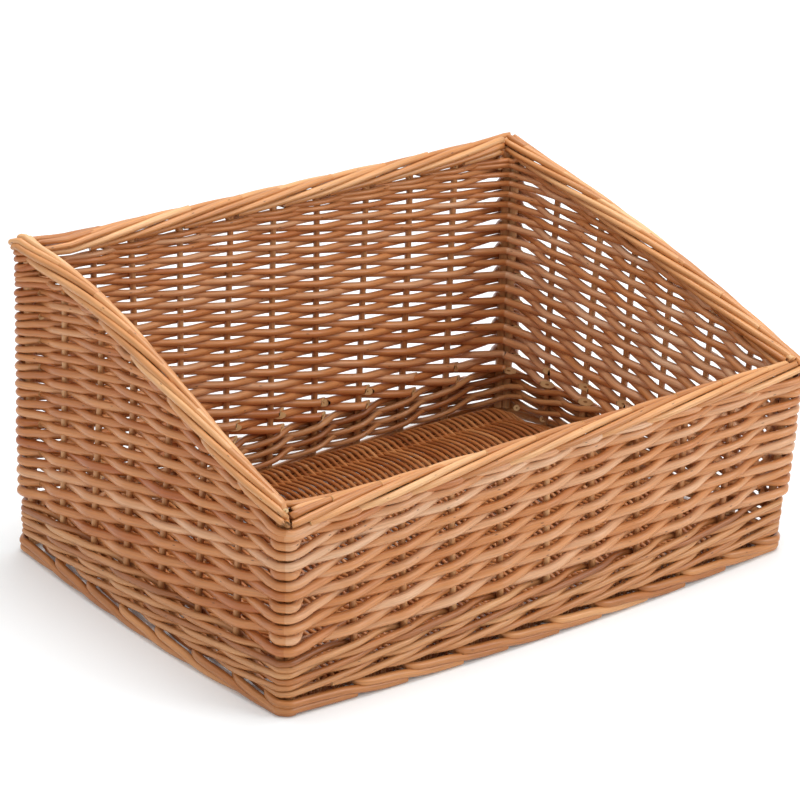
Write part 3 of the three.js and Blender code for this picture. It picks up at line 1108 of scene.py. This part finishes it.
@dataclass
class FrenchRanding(Woven):
    """The walls' weave: one rod at each stake, outside one and inside the next, climbing as it goes.

    A level is one rod's thickness of height. At every stake even levels lie inside and odd ones
    outside. The rods thin towards their tips, so the levels close up towards the top. A rod's knots
    are rows of length round the wall, offset out of its middle, height and thickness. Round a corner
    it bends at rows of distance along, share of the offset, and rise.
    """

    slype: float = 1.6
    first_gap: float = 3.2
    level_rise: float = 6.5
    rise_loss: float = 0.07
    fill: float = 1.1
    ease: float = 0.2
    stake_press: float = 0.72
    corner_press: float = 0.46
    corner_bulge: float = 1.0
    corner_bend: Rows = ((-6.0, 0.94, -0.2), (-2.4, 1.0, -0.1), (2.4, 1.0, 0.1), (6.0, 0.94, 0.2))
    butt_overhang: float = 7.0
    starter_level: int = -2
    top_level: int = 42
    tuck: float = 6.0
    tuck_run: float = 16.0
    tuck_lift: float = 7.0
    crowding: float = 4.5
    pair_shift: float = 2.1
    wrap_levels: int = 4
    wrap_clear: float = 7.0
    back_wrap_thickness: float = 4.6
    back_wrap_headroom: float = 16.0
    back_wrap_rises: tuple[float, ...] = (-8.0, -2.0, 4.0, 10.0)
    # Painted light and shade: a fixed shift of each wall's rod tone, the left wall deeper as if in shade,
    # the right and front paler as if lit.
    painted_wall_light: dict[Side, float] = field(
        default_factory=lambda: {Side.FRONT: 0.06, Side.RIGHT: 0.16, Side.BACK: 0.0, Side.LEFT: -0.14}
    )

    def height(self, level: float) -> float:
        """Height of a level's middle."""
        n = level - self.starter_level
        return self.plan.wale_top + self.first_gap + self.level_rise * n - self.rise_loss * n * n / 2

    def thickness(self, level: float) -> float:
        """Thickness of a rod at a level: packed down, the rods press into each other a little."""
        return self.fill * (self.level_rise - self.rise_loss * (level - self.starter_level))

    def offset(self, unit: Unit, level: int) -> float:
        """How far out of the wall's middle a rod passes a unit.

        Args:
            unit: The stake or corner.
            level: The rod's level there.

        Returns:
            The distance, below 0 inside.
        """
        side = 1.0 if level % 2 else -1.0
        d = self.thickness(level)
        if unit.corner:
            return side * (unit.radius + self.corner_press * d + self.corner_bulge * (level % 2))
        return side * self.stake_press * (unit.radius + 0.5 * d)

    def knots(self, first: int, levels: range) -> np.ndarray:
        """The knots at which a rod passes its units.

        Args:
            first: Index of the unit at which the rod starts.
            levels: The levels that it climbs through, one a unit.

        Returns:
            The knots.
        """
        rows = []
        for index, level in enumerate(levels, first):
            unit = self.plan.unit(index)
            n, z, d = self.offset(unit, level), self.height(level), self.thickness(level)
            s = self.plan.at_unit(index) + self.plan.sway(index, min(z, self.plan.back_height))
            if not unit.corner:
                rows.append((s, n, z, d))
                continue
            bend = self.corner_bend[1:3]
            if level % 2:
                bend = self.corner_bend
                z += self.pair_shift * (1 if (level + 1) // 2 % 2 else -1)
            rows.extend((s + along, share * n, z + rise, d) for along, share, rise in bend)
        return np.array(rows)

    def weave(self, knots: np.ndarray, headroom: float = 0.0) -> list[Rod]:
        """Bends a rod through its knots, and stops it where the rim is in its way.

        Args:
            knots: The knots.
            headroom: How far above the rim's underside it may go, where the rim's ends lift.

        Returns:
            The stretches of the rod that lie under the rim.
        """
        s = self.plan.steps(knots[0, 0], knots[-1, 0])
        n = taut_through(knots[:, 0], knots[:, 1], s, self.ease)
        z, d = (np.interp(s, knots[:, 0], knots[:, i]) for i in (2, 3))
        phase = self.rng.uniform(0, 6.28, 3)
        z = z + waver(s, 0.45, 71, phase[0]) + waver(s, 0.25, 29, phase[1])
        n = n + waver(s, 0.3, 53, phase[2])
        under = self.plan.rim_under(s) + headroom
        shows = z < under + self.tuck
        z = -self.crowding * np.logaddexp(-z / self.crowding, -(under - 1.0) / self.crowding)
        edges = np.flatnonzero(np.diff(shows.astype(int))) + 1
        for edge in edges:
            hidden = np.clip(1 - np.abs(s - s[edge]) / self.tuck_run, 0, 1)
            n = n * (1 - hidden)
            z = z + self.tuck_lift * hidden
        line = self.plan.follow(s, n, z)
        radius = d / 2 * self.rng.uniform(0.94, 1.05) * (1 + waver(s, 0.03, 37, phase[0]))
        rods = []
        for first, last in zip([0, *edges], [*edges, len(s)]):
            if shows[first] and last - first > 3:
                passed = int(np.searchsorted(self.plan.corners, s[first] % self.plan.round))
                slant = -self.slype * self.plan.walls[passed % 4 - 1].out
                span = slice(first, last)
                rods.append(Rod.shaded(self.rng, (0.5, 0.1), line[span], radius[span], slant=slant))
        return rods

    def climbing(self) -> list[Rod]:
        """The rods that climb the walls, each with its butt inside its own stake.

        Returns:
            The rods: at each stake a short starter, tucked in at its tip, and a long one.
        """
        rods = []
        for first in range(len(self.plan.units)):
            for levels in (range(self.starter_level, 1), range(0, self.top_level)):
                knots = self.knots(first, levels)
                back, sink = self.butt_overhang + self.rng.uniform(-2, 2), self.rng.uniform(0, 0.8)
                knots = np.vstack([knots[0] - (back, 0, sink, 0), knots])
                # A starter stops just short of its last stake, a little lower than a long rod there.
                if levels.start < 0:
                    knots[-1, :2] = knots[-2, :2] * 0.12 + knots[-1, :2] * 0.88
                    knots[-1, 2] = knots[-2, 2] * 0.3 + knots[-1, 2] * 0.7
                rods.extend(self.weave(knots))
        return rods

    def corner_wraps(self) -> list[Rod]:
        """Short rods that fill the corners, one between every second pair of climbing rods.

        Returns:
            The rods, with closer ones under the rim where it lifts at the back corners.
        """
        rods = []
        for unit in (unit for unit in self.plan.units if unit.corner):
            under = float(self.plan.rim_under(unit.place))
            level = 0
            wraps = []
            while self.height(level) < under - self.wrap_clear:
                wraps.append((self.height(level), self.thickness(level), 0.0))
                level += self.wrap_levels
            if under > self.plan.front_height:
                d, room = self.back_wrap_thickness, self.back_wrap_headroom
                wraps += [(under + rise, d, room) for rise in self.back_wrap_rises]
            for z, d, headroom in wraps:
                out = unit.radius + self.corner_press * d + self.corner_bulge
                # Half of a wrap, from its tucked end to the posts: distance along, offset and rise.
                half = [(14, -2.8, -0.8), (11, -2.0, -0.4), (9, 2.0, -0.2)]
                half += [(7.4, out - 1.0, 0), (5, out, 0)]
                rows = [(-s, n, z + dz, d) for s, n, dz in half]
                rows += [(s, n, z - dz, d) for s, n, dz in reversed(half)]
                rods.extend(self.weave(np.array(rows) + (unit.place, 0, 0, 0), headroom))
        return rods

    def build(self) -> None:
        """Makes one piece of each wall's weavers, with painted light and shade: each wall's rods a step
        paler or deeper.
        """
        rods = self.climbing() + self.corner_wraps()
        for side, share in self.plan.by_wall(rods).items():
            # Painted light and shade: each wall's rods are shifted paler or deeper by that wall's step.
            for rod in share:
                rod.tone += self.painted_wall_light[side]
            finish_piece(f"{side.value}_weavers", share, Finish.WEAVERS, [f"{side.value}_weave"])


@dataclass
class UpsettWale(Woven):
    """The band that sets the stakes up: three rounds of three rods, outside two stakes and inside one.

    Each stroke comes out low, lies over the strokes before it and goes in high, like a rope. Its rows
    are units passed, side of the stakes, extra distance out, and height in rod thicknesses.
    """

    rounds: int = 3
    strokes_per_rod: int = 12
    press: float = 0.48
    stroke: Rows = (
        (0.0, -1.0, 0.0, 0.0),
        (0.5, 0.0, 0.0, -0.85),
        (1.0, 1.0, 0.0, -0.5),
        (1.5, 1.0, 0.5, 0.0),
        (2.0, 1.0, 0.0, 0.5),
        (2.5, 0.0, 0.0, 0.85),
    )

    def rod(self, turn: int, first: int, strokes: int) -> Rod:
        """One rod of a round.

        Args:
            turn: Which round, counted from below.
            first: Index of the unit at which the rod starts, inside.
            strokes: Strokes that it makes.

        Returns:
            The rod.
        """
        d = (self.plan.wale_top - self.plan.wale_bottom) / (2 * self.rounds)
        middle = self.plan.wale_bottom + d * (2 * turn + 1)
        rows = []
        for start in range(first, first + 3 * strokes, 3):
            for move, side, extra, rise in self.stroke:
                clear = self.plan.unit(round(start + move)).radius + self.press * d
                rows.append((self.plan.at_unit(start + move), side * clear + extra, middle + rise * d))
        knots = np.array(rows)
        # There is no room behind the posts of a corner, so a rod starts beside them.
        if self.plan.unit(first).corner:
            knots = knots[1:]
            knots[0] += (9.0, 3.5, 0.8)
        s = self.plan.steps(knots[0, 0], knots[-1, 0])
        n, z = (smooth_through(knots[:, 0], knots[:, i], s) for i in (1, 2))
        phase = self.rng.uniform(0, 6.28, 2)
        line = self.plan.follow(s, n + waver(s, 0.25, 33, phase[1]), z + waver(s, 0.35, 47, phase[0]))
        radius = np.linspace(0.56, 0.48, len(s)) * d * self.rng.uniform(0.95, 1.06)
        return Rod.shaded(self.rng, (0.55, 0.2), line, radius)

    def build(self) -> None:
        """Makes the wale as one piece."""
        count = len(self.plan.units)
        rods = []
        for turn in range(self.rounds):
            for made in range(0, count, self.strokes_per_rod):
                strokes = min(self.strokes_per_rod, count - made)
                rods.append(self.rod(turn, 5 * turn + 3 * made, strokes + 1))
        finish_piece("upsett_wale_rods", rods, Finish.WALE, ["upsett_wale"])


@dataclass
class RimBorder(Woven):
    """The plaited rim: each stake's top bends over, climbs round the edge and is cut off inside.

    A rod lies low outside at its own stake and turns a little further round the rim at each next
    one. Its top is covered by the butt of a second rod that carries the turn on down the inside. A
    run is rows of place along the wall, distance out, and height over the rim's underside.
    """

    first_turn: float = -32.0
    turn_per_stake: float = 48.0
    past_stake: float = 0.25
    handover: float = 98.0
    overlap: float = 8.0
    last_turn: float = 246.0
    thickness: float = 5.4
    taper: float = 0.86
    core: float = 5.6
    stakes_before: int = 6
    back_corner_rise: float = 2.8
    left_corner_rise: float = 7.5
    rise_run: float = 18.0

    def section(self, angle: np.ndarray | float, share: float) -> tuple[np.ndarray, np.ndarray]:
        """Place in the rim's section for an angle round it.

        Args:
            angle: Degrees from straight out, over the top.
            share: Distance from the section's middle as a share of the full one.

        Returns:
            Distance out of the wall's middle, and height over the rim's underside.
        """
        wide = (self.plan.rim_width - self.thickness) / 2
        tall = self.plan.rim_height - self.thickness / 2 - self.core
        turn = np.radians(angle)
        return wide * share * np.cos(turn), self.core + tall * share * np.sin(turn)

    def lift(self, wall: Wall, u: np.ndarray) -> np.ndarray:
        """Height of the rim's underside, which rises a little towards the back corners.

        Args:
            wall: The wall.
            u: Places along it.

        Returns:
            The heights there.
        """
        y = wall.y_at(u)
        climb = self.plan.front_height + (y - self.plan.front_edge) * self.plan.slope
        top = {Side.FRONT: self.plan.front_height, Side.BACK: self.plan.back_height}.get(wall.side, climb)
        from_back = wall.half - np.abs(u) if wall.side is Side.BACK else self.plan.half_y - y
        rise = self.left_corner_rise if wall.side is Side.LEFT else self.back_corner_rise
        return top - self.plan.rim_height + rise * np.exp(-np.abs(from_back) / self.rise_run)

    def strand(self, origin: float, pitch: float, turns: tuple[float, float]) -> np.ndarray:
        """The run of a rod round the rim, between two angles.

        Args:
            origin: Place along the wall of the stake that the turn is counted from.
            pitch: Distance between stakes.
            turns: The first and last angle.

        Returns:
            The run.
        """
        angle = np.linspace(*turns, 14)
        u = origin + pitch * (self.past_stake + (angle - self.first_turn) / self.turn_per_stake)
        wobble = self.rng.uniform(-4, 4) + waver(angle, 3, 40, self.rng.uniform(0, 6))
        n, w = self.section(angle + wobble, self.rng.uniform(0.95, 1.03))
        return np.stack([u, n, w], axis=1)

    def rod(self, wall: Wall, run: np.ndarray, start: End = End.CUT, finish: End = End.CUT) -> Rod:
        """Bends a rod along its run.

        Args:
            wall: The wall.
            run: The run.
            start: How the rod starts.
            finish: How it stops.

        Returns:
            The rod.
        """
        fine = curve_through(run, 4.5)
        line = wall.place(fine[:, 0], fine[:, 1], fine[:, 2] + self.lift(wall, fine[:, 0]))
        radius = self.thickness / 2 * np.linspace(1.03, self.taper, len(line))
        radius = radius * self.rng.uniform(0.94, 1.04)
        ends = {"start": start, "finish": finish}
        return Rod.shaded(self.rng, (0.52, 0.2), line, radius, across=wall.out, **ends)

    def sunk(self, row: np.ndarray, moves: tuple[tuple[float, float], ...]) -> np.ndarray:
        """Rows that lead between the rim's core and a row; a move is along the wall and share out."""
        out = np.array([(along, share, share) for along, share in moves])
        return out * (1, row[1], row[2] - self.core) + (row[0], 0, self.core)

    def clipped(self, wall: Wall, run: np.ndarray) -> tuple[np.ndarray, End, End]:
        """Keeps the part of a run that lies on the wall, and tucks it down where it meets a corner.

        Args:
            wall: The wall.
            run: The run.

        Returns:
            The kept rows, and how a rod along them starts and stops.
        """
        fine = curve_through(run, 4.0)
        mitre = wall.half + fine[:, 1]
        # Each wall's rods start where the end of the rim before it leaves room for them.
        begins = {
            Side.FRONT: -mitre + 4.0,
            Side.BACK: -mitre + 0.9 * (self.plan.rim_width / 3 - fine[:, 1]),
            Side.LEFT: -mitre - 5.0 + 1.6 * np.maximum(9.0 - fine[:, 2], 0.0),
        }.get(wall.side, -mitre - 1.0)
        stops = wall.half + 2.0 if wall.side is Side.RIGHT else mitre - 1.0
        inside = (fine[:, 0] > begins) & (fine[:, 0] < stops)
        kept = fine[inside]
        if len(kept) < 4:
            return kept[:0], End.CUT, End.CUT
        start, finish = (End.CUT if whole else End.ROUND for whole in (inside[0], inside[-1]))
        if start is End.ROUND and wall.side is not Side.LEFT:
            kept = np.vstack([self.sunk(kept[0], ((7.0, 0.25), (1.2, 0.74))), kept])
        if finish is End.ROUND:
            kept = np.vstack([kept, self.sunk(kept[-1], ((2.4, 0.74), (-2.5, 0.25)))])
        return kept, start, finish

    def wall_rods(self, wall: Wall) -> list[Rod]:
        """All rods of one wall's rim.

        Args:
            wall: The wall.

        Returns:
            The rods.
        """
        places = [wall.u_of(stake) for stake in wall.stakes]
        pitch = places[1] - places[0]
        post = wall.u_of(wall.posts[0])
        tops = [u + float(self.plan.lean_of(stake, stake.top)) for u, stake in zip(places, wall.stakes)]
        before = [post - pitch * k for k in range(self.stakes_before, 0, -1)]
        sink = self.section(self.handover + self.overlap, 0.5)
        rods = []
        for origin in [*before, post, *tops]:
            outer = self.strand(origin, pitch, (self.first_turn, self.handover))
            if origin > post or (origin == post and wall.side is not Side.FRONT):
                # The stake's own top comes up through the rim's underside and bends outwards.
                stem = [(origin, 0, -9), (origin + 0.4, 0.2, -3), (origin + 3.0, 2.6, 0.6)]
                outer = np.vstack([stem, outer[1:]])
            outer = np.vstack([outer, (outer[-1, 0] + 12, *sink)])
            inner = self.strand(origin, pitch, (self.handover - self.overlap, self.last_turn))
            for run in (outer, inner):
                kept, start, finish = self.clipped(wall, run)
                if len(kept):
                    rods.append(self.rod(wall, kept, start, finish))
        if wall.side is Side.FRONT:
            rods.append(self.corner_tie(wall))
        return rods

    def corner_tie(self, wall: Wall) -> Rod:
        """The inner rod that crosses over the end of the rim before it at the wall's first corner.

        Args:
            wall: The wall.

        Returns:
            The rod.
        """
        run = [(70, -6.4, 8.6), (40, -6.4, 10.6), (16, -6.8, 12.4), (6, -6.8, 14.2)]
        run += [(2.0, -4.6, 15.6), (-0.5, -0.8, 15.8), (-1.6, 2.2, 14.8)]
        return self.rod(wall, np.array(run) - (wall.half, 0, 0))

    def build(self) -> None:
        """Makes one piece of each wall's rim."""
        for wall in self.plan.walls:
            name = f"{wall.side.value}_rim"
            finish_piece(f"{name}_rods", self.wall_rods(wall), Finish.BORDERS, [f"{name}_border"])


@dataclass
class FootBorder(Woven):
    """The border that the basket stands on: at each stake a rod comes out below the wale.

    It bends over, drops to the ground past the next stake and is cut off at the one after. The rows
    of its way are units passed, distance out, height, and share of its thickness. At the back it
    starts lower, and at the left it ends further on, tucked in.
    """

    thickness: float = 6.2
    corner_bulge: float = 1.0
    bulge_run: float = 9.0
    corner_lead: float = 0.34
    start: Rows = (
        (-0.02, -2.6, 12.6, 0.9),
        (0.0, 0.6, 12.0, 1.0),
        (0.07, 4.2, 10.8, 1.0),
        (0.3, 6.0, 9.7, 1.0),
    )
    back_start: Rows = (
        (-0.02, 0.4, 10.4, 0.9),
        (0.0, 2.0, 9.8, 1.0),
        (0.07, 4.4, 8.6, 1.0),
        (0.3, 6.2, 6.4, 1.0),
    )
    drop: Rows = ((0.8, 6.2, 8.2, 1.0), (1.2, 5.6, 5.2, 1.0))
    back_drop: Rows = ((0.8, 6.2, 4.8, 1.0), (1.2, 5.6, 3.8, 1.0))
    left_drop: Rows = ((0.8, 6.2, 7.6, 1.0), (1.1, 5.8, 4.8, 1.0))
    stop: Rows = ((1.6, 5.2, 3.6, 0.98), (2.05, 5.0, 3.0, 0.92))
    left_stop: Rows = ((1.5, 5.2, 3.4, 0.98), (2.2, 3.0, 3.0, 0.84))

    def way(self, index: int) -> list[tuple[float, ...]]:
        """The rows of a rod's way.

        Args:
            index: Index of the unit at which the rod starts.

        Returns:
            The rows.
        """
        from_back = self.plan.unit(index).node.startswith(Side.BACK.value)
        to_left = self.plan.unit(index + 2).node.startswith(Side.LEFT.value)
        drop = self.left_drop if to_left else self.back_drop if from_back else self.drop
        start = self.back_start if from_back else self.start
        return [*start, *drop, *(self.left_stop if to_left else self.stop)]

    def rod(self, index: int) -> Rod:
        """The rod of one stake or corner.

        Args:
            index: Index of the unit.

        Returns:
            The rod.
        """
        late = 0.06 if self.plan.unit(index + 2).corner else self.rng.uniform(-0.08, 0.08)
        lead, dip = (self.corner_lead * self.plan.unit(i).corner for i in (index, index + 1))
        rows = []
        # At corners a rod comes out and drops earlier, so that it doesn't stand off the posts.
        for move, *row in self.way(index):
            shift = -lead if move < 0.4 else -dip if move < 1.4 else late if move > 1.8 else 0.0
            rows.append((self.plan.at_unit(index + move + shift), *row))
        knots = np.array(rows)
        s = self.plan.steps(knots[0, 0], knots[-1, 0], 3.0)
        n, z, share = (smooth_through(knots[:, 0], knots[:, i], s) for i in (1, 2, 3))
        bulge = np.exp(-((self.plan.from_corner(s) / self.bulge_run) ** 2))
        n = n + self.corner_bulge * bulge * (n > 3.0)
        radius = self.thickness / 2 * share * self.rng.uniform(0.95, 1.04)
        z = np.maximum(z + waver(s, 0.3, 40, self.rng.uniform(0, 6)), radius + 0.05)
        return Rod.shaded(self.rng, (0.22, 0.1), self.plan.follow(s, n, z), radius)

    def build(self) -> None:
        """Makes one piece of each wall's foot."""
        rods = [self.rod(index) for index in range(len(self.plan.units))]
        for side, share in self.plan.by_wall(rods).items():
            finish_piece(f"{side.value}_foot_rods", share, Finish.BORDERS, [f"{side.value}_foot_border"])


@dataclass
class Base:
    """The floor: stout sticks along the basket, and fine weavers packed across them."""

    rng: Generator
    weaver_thickness: float = 3.1
    weaver_pitch: float = 3.05
    weaver_reach: float = 1.5
    loop: float = 11.0
    back_loop: float = 7.0
    sag: float = 4.5
    drop: float = 3.5
    end_dip: float = 8.0
    dip_run: float = 12.0
    stick_dip: float = 0.8
    sticks: int = 7

    def __post_init__(self) -> None:
        """Reads the floor's size and the sticks' places from the CAD nodes."""
        self.nodes = [f"base_stick_{i + 1}" for i in range(self.sticks)]
        boxes = [box_mm(node) for node in self.nodes]
        self.places = [(low[1] + high[1]) / 2 for low, high in boxes]
        low, high = boxes[0]
        self.level = (low[2] + high[2]) / 2 - self.drop
        self.stick_radius = (high[1] - low[1]) / 2
        self.half_x = high[0]

    def dip(self, x: np.ndarray | float) -> np.ndarray:
        """How far the floor drops towards its two ends."""
        return self.end_dip * np.exp(-(((self.half_x - np.abs(x)) / self.dip_run) ** 2))

    def stick(self, y: float) -> Rod:
        """One stick along the basket.

        Args:
            y: Its place towards the back.

        Returns:
            The rod.
        """
        x = np.linspace(-self.half_x, self.half_x, 60)
        y = y + waver(x, 0.4, 60, self.rng.uniform(0, 6))
        line = np.stack([x, y, self.level - self.stick_dip * self.dip(x)], axis=1)
        return Rod(line, np.full(len(x), self.stick_radius), self.rng.uniform(0.2, 0.8), self.rng.uniform())

    def weaver(self, index: int, x: float) -> Rod:
        """One weaver across the sticks, looped round the outer ones.

        Args:
            index: Its number, which says over which sticks it goes.
            x: Its place along the basket.

        Returns:
            The rod.
        """
        lift = self.stick_radius + self.weaver_thickness / 2
        low = -lift - self.sag
        over = 1 if index % 2 else -1
        first, last = self.places[0], self.places[-1]
        loops = (self.loop, self.back_loop) if first < last else (self.back_loop, self.loop)
        start, end = first - loops[0], last + loops[1]
        # An end that goes over the outer stick comes round from under it.
        if over > 0:
            points = [(first + 12, -lift), (first, low), (start + 1, low + 1), (start, -1.0)]
        else:
            points = [(start, 1.0), (start, low + 2), (start + 3, low)]
        for y in self.places:
            points.append((y, over * lift))
            over = -over
        if over < 0:
            points += [(end, -1.0), (end - 1, low + 1), (last, low), (last - 12, -lift)]
        else:
            points += [(end - 3, low), (end, low + 2), (end, 1.0)]
        level = self.level - float(self.dip(x))
        run = np.array([(x, y, max(level + z, self.weaver_thickness)) for y, z in points])
        run[:, 0] += self.rng.uniform(-0.3, 0.3, len(run))
        line = curve_through(run, 6.0)
        radius = np.full(len(line), self.weaver_thickness / 2 * self.rng.uniform(0.92, 1.04))
        ends = {"start": End.ROUND, "finish": End.ROUND}
        return Rod.shaded(self.rng, (0.5, 0.2), line, radius, across=ALONG_X, **ends)

    def build(self) -> None:
        """Makes the sticks and the weavers as two pieces."""
        sticks = [self.stick(y) for y in self.places]
        finish_piece("base_sticks", sticks, Finish.STAKES, self.nodes)
        reach = self.half_x + self.weaver_reach
        places = np.linspace(-reach, reach, int(2 * reach / self.weaver_pitch) + 1)
        weavers = [self.weaver(i, x) for i, x in enumerate(places)]
        finish_piece("base_weavers", weavers, Finish.BASE, ["base_weave"], sides=8)


@dataclass
class Studio:
    """White floor, soft lamps and the camera where the photographer stood.

    The floor's white is lifted a little where the camera sees it, and more from far_from to far_to
    metres away, where the lamps no longer reach. The lift lights nothing.
    """

    azimuth: float = -38.5
    elevation: float = 22.67
    roll: float = 1.55
    focal_pixels: float = 3238.4
    image_pixels: float = 800.0
    sensor: float = 36.0
    target: tuple[float, float, float] = (-0.24, 7.11, 121.83)
    distance: float = 2456.1
    floor_half: float = 9.0
    card: str = "#F8FDFF"
    far_from: float = 0.8
    far_to: float = 4.0
    lifts: tuple[float, float] = (0.05, 0.6)
    room_light: float = 0.58
    lamp_aim: tuple[float, float, float] = (0.0, 0.0, 0.1)

    def camera(self) -> None:
        """Sets the camera up."""
        data = bpy.data.cameras.new("camera")
        data.sensor_width = self.sensor
        data.lens = self.focal_pixels / self.image_pixels * self.sensor
        data.clip_start, data.clip_end = 0.05, 60.0
        a, e, r = (math.radians(v) for v in (self.azimuth, self.elevation, self.roll))
        back = Vector((math.sin(a) * math.cos(e), -math.cos(a) * math.cos(e), math.sin(e)))
        right = Vector((math.cos(a), math.sin(a), 0.0))
        above = back.cross(right)
        tilted_right = math.cos(r) * right + math.sin(r) * above
        tilted_above = math.cos(r) * above - math.sin(r) * right
        turn = Matrix((tilted_right, tilted_above, back)).transposed()
        place = (Vector(self.target) + back * self.distance) * MM
        eye = put_in_scene("camera", data)
        eye.matrix_world = Matrix.Translation(place) @ turn.to_4x4()
        bpy.context.scene.camera = eye

    @staticmethod
    def shown(tree: Tree) -> Socket:
        """Marks the rays that show the background: to the camera, off a gloss or through glass.

        Args:
            tree: The node tree.

        Returns:
            1 for those rays, 0 for the rest.
        """
        ray = add_node(tree, "ShaderNodeLightPath")
        marked = ray.outputs["Is Camera Ray"]
        for label in ("Is Glossy Ray", "Is Transmission Ray"):
            pair = {0: marked, 1: ray.outputs[label]}
            marked = add_node(tree, "ShaderNodeMath", pair, operation="MAXIMUM").outputs[0]
        return marked

    def floor(self) -> None:
        """Lays matt white card that reads as white to the camera and keeps the basket's shadow."""
        half = self.floor_half
        mesh = bpy.data.meshes.new("floor")
        corners = [(-half, -half, 0), (half, -half, 0), (half, half, 0), (-half, half, 0)]
        mesh.from_pydata(corners, [], [(0, 1, 2, 3)])
        card = bpy.data.materials.new("matt_white_card")
        tree = bare_tree(card)
        place = add_node(tree, "ShaderNodeNewGeometry").outputs["Position"]
        away = add_node(tree, "ShaderNodeVectorMath", {0: place}, operation="LENGTH").outputs["Value"]
        lift = map_range(tree, away, (self.far_from, self.far_to), self.lifts)
        seen = add_node(tree, "ShaderNodeMath", {0: self.shown(tree), 1: lift}, operation="MULTIPLY")
        look = {
            "Base Color": linear_colour(self.card),
            "Roughness": 0.95,
            "Specular IOR Level": 0.0,
            "Emission Color": WHITE,
            "Emission Strength": seen.outputs[0],
        }
        paper = add_node(tree, "ShaderNodeBsdfPrincipled", look)
        add_node(tree, "ShaderNodeOutputMaterial", {"Surface": paper.outputs[0]})
        mesh.materials.append(card)
        floor = put_in_scene("floor", mesh)

    def lamp(self, name: str, place: tuple[float, float, float], size: float, power: float) -> None:
        """Hangs a white square softbox that faces the basket.

        Args:
            name: The lamp's name.
            place: Where it hangs, in metres.
            size: Its side, in metres.
            power: Its power in watts.
        """
        data = bpy.data.lights.new(name, "AREA")
        data.shape = "SQUARE"
        data.size = size
        data.energy = power
        lamp = put_in_scene(name, data)
        lamp.location = place
        aim = Vector(self.lamp_aim) - Vector(place)
        lamp.rotation_euler = aim.to_track_quat("-Z", "Y").to_euler()

    def world(self) -> None:
        """Fills the room with even light, and shows white where the camera sees past the floor."""
        world = bpy.data.worlds.new("white_room")
        bpy.context.scene.world = world
        tree = bare_tree(world)
        strength = map_range(tree, self.shown(tree), (0.0, 1.0), (self.room_light, 1.0))
        sky = add_node(tree, "ShaderNodeBackground", {"Color": WHITE, "Strength": strength})
        add_node(tree, "ShaderNodeOutputWorld", {"Surface": sky.outputs[0]})

    def build(self) -> None:
        """Builds the studio."""
        self.camera()
        self.floor()
        self.lamp("overhead_softbox", (0.2, 0.08, 1.9), 1.4, 28.0)
        self.lamp("front_softbox", (1.2, -1.7, 1.2), 1.0, 16.5)
        self.lamp("left_softbox", (-1.8, -0.4, 1.1), 1.1, 4.8)
        self.world()
        bpy.context.scene.view_settings.view_transform = "Standard"


def main() -> None:
    """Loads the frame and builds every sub-assembly over it."""
    logging.basicConfig(level=logging.INFO, format="%(name)s: %(message)s")
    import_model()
    plan = Plan()
    Studio().build()
    Base(default_rng(67)).build()
    Uprights(plan, default_rng(11)).build()
    UpsettWale(plan, default_rng(37)).build()
    FrenchRanding(plan, default_rng(23)).build()
    RimBorder(plan, default_rng(41)).build()
    FootBorder(plan, default_rng(53)).build()


if __name__ == "__main__":
    main()
